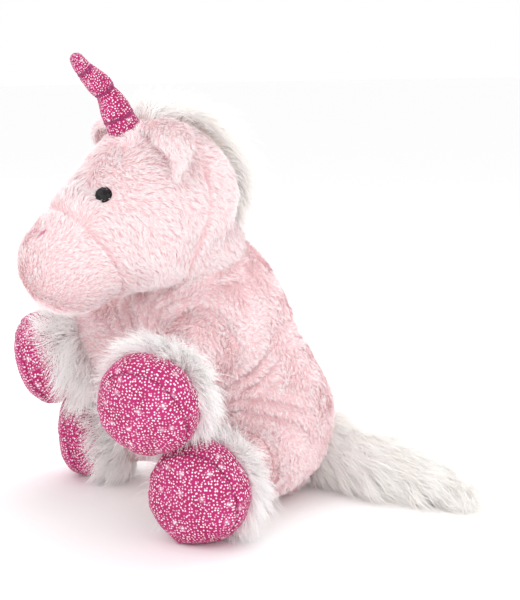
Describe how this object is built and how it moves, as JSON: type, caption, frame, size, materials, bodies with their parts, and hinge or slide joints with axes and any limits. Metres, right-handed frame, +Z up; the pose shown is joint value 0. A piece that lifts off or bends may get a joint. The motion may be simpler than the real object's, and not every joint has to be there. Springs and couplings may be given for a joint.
{
  "type": "plush unicorn",
  "caption": "Plush unicorn sitting upright with a stuffed bent horn, long white mane and tail, fluffy cuffs and round padded hooves.",
  "frame": {"origin": "centre of the flat seat, on the surface the toy rests on", "axes": "+Z up; the toy faces -Y and its own left side is +X"},
  "size_m": [0.2657, 0.3073, 0.3356],
  "materials": {
    "pink_plush": "soft curly pile",
    "white_pile": "long soft pile",
    "dotted_foil_cloth": "woven cloth with small silver foil dots",
    "lining_cloth": "short pile",
    "stuffing": "loose polyester fibre",
    "pouch_cloth": "plain woven cloth",
    "pellets": "small beads",
    "thread": "sewing thread",
    "eye_plastic": "polished",
    "washer_plastic": "moulded"
  },
  "bodies": {
    "torso": {"body_plush": "pink_plush", "body_filling": "stuffing", "seat_panel": "pink_plush", "pellet_pouch": "pouch_cloth", "pellets": "pellets"},
    "neck": {"neck_filling": "stuffing"},
    "head": {"head_plush": "pink_plush", "muzzle_plush": "pink_plush", "head_filling": "stuffing", "nostril_stitches": "thread", "mane": "white_pile", "horn_cover": "dotted_foil_cloth", "horn_filling": "stuffing", "horn_thread": "thread", "left_eye": "eye_plastic", "right_eye": "eye_plastic", "left_eye_washer": "washer_plastic", "right_eye_washer": "washer_plastic"},
    "left_ear_flap": {"left_ear": "pink_plush", "left_ear_lining": "lining_cloth"},
    "right_ear_flap": {"right_ear": "pink_plush", "right_ear_lining": "lining_cloth"},
    "left_front_leg": {"left_front_leg_plush": "pink_plush", "left_front_leg_filling": "stuffing", "left_front_cuff": "white_pile", "left_front_hoof_band": "dotted_foil_cloth", "left_front_hoof_sole": "dotted_foil_cloth"},
    "right_front_leg": {"right_front_leg_plush": "pink_plush", "right_front_leg_filling": "stuffing", "right_front_cuff": "white_pile", "right_front_hoof_band": "dotted_foil_cloth", "right_front_hoof_sole": "dotted_foil_cloth"},
    "left_hind_leg": {"left_hind_leg_plush": "pink_plush", "left_hind_leg_filling": "stuffing", "left_hind_cuff": "white_pile", "left_hind_hoof_band": "dotted_foil_cloth", "left_hind_hoof_sole": "dotted_foil_cloth"},
    "right_hind_leg": {"right_hind_leg_plush": "pink_plush", "right_hind_leg_filling": "stuffing", "right_hind_cuff": "white_pile", "right_hind_hoof_band": "dotted_foil_cloth", "right_hind_hoof_sole": "dotted_foil_cloth"},
    "tail": {"tail_cover": "white_pile", "tail_filling": "stuffing"}
  },
  "joints": [
    {"name": "head_turn", "type": "hinge", "parent": "torso", "child": "neck", "pos_m": [0, -0.05074, 0.18152], "axis": [0, 0, 1], "range_deg": [-20, 20], "stiffness_Nm_per_rad": 2.5},
    {"name": "head_nod", "type": "hinge", "parent": "neck", "child": "head", "pos_m": [0, -0.05074, 0.18152], "axis": [-1, 0, 0], "range_deg": [-5, 15], "stiffness_Nm_per_rad": 4},
    {"name": "left_ear_flop", "type": "hinge", "parent": "head", "child": "left_ear_flap", "pos_m": [0.027, -0.091, 0.283], "axis": [0, -1, 0], "range_deg": [0, 40], "stiffness_Nm_per_rad": 0.05},
    {"name": "right_ear_flop", "type": "hinge", "parent": "head", "child": "right_ear_flap", "pos_m": [-0.027, -0.091, 0.283], "axis": [0, 1, 0], "range_deg": [0, 40], "stiffness_Nm_per_rad": 0.05},
    {"name": "left_front_leg_lift", "type": "hinge", "parent": "torso", "child": "left_front_leg", "pos_m": [0.046, -0.067, 0.128], "axis": [-1, 0, 0], "range_deg": [0, 20], "stiffness_Nm_per_rad": 2},
    {"name": "right_front_leg_lift", "type": "hinge", "parent": "torso", "child": "right_front_leg", "pos_m": [-0.046, -0.067, 0.128], "axis": [-1, 0, 0], "range_deg": [0, 20], "stiffness_Nm_per_rad": 2},
    {"name": "left_hind_leg_spread", "type": "hinge", "parent": "torso", "child": "left_hind_leg", "pos_m": [0.048, -0.0295, 0.041], "axis": [0, 0, 1], "range_deg": [0, 25], "stiffness_Nm_per_rad": 2},
    {"name": "right_hind_leg_spread", "type": "hinge", "parent": "torso", "child": "right_hind_leg", "pos_m": [-0.048, -0.0295, 0.041], "axis": [0, 0, -1], "range_deg": [0, 25], "stiffness_Nm_per_rad": 2},
    {"name": "tail_swing", "type": "hinge", "parent": "torso", "child": "tail", "pos_m": [0.02, 0.062, 0.018], "axis": [0, 0, 1], "range_deg": [-5, 100], "stiffness_Nm_per_rad": 0.15}
  ]
}
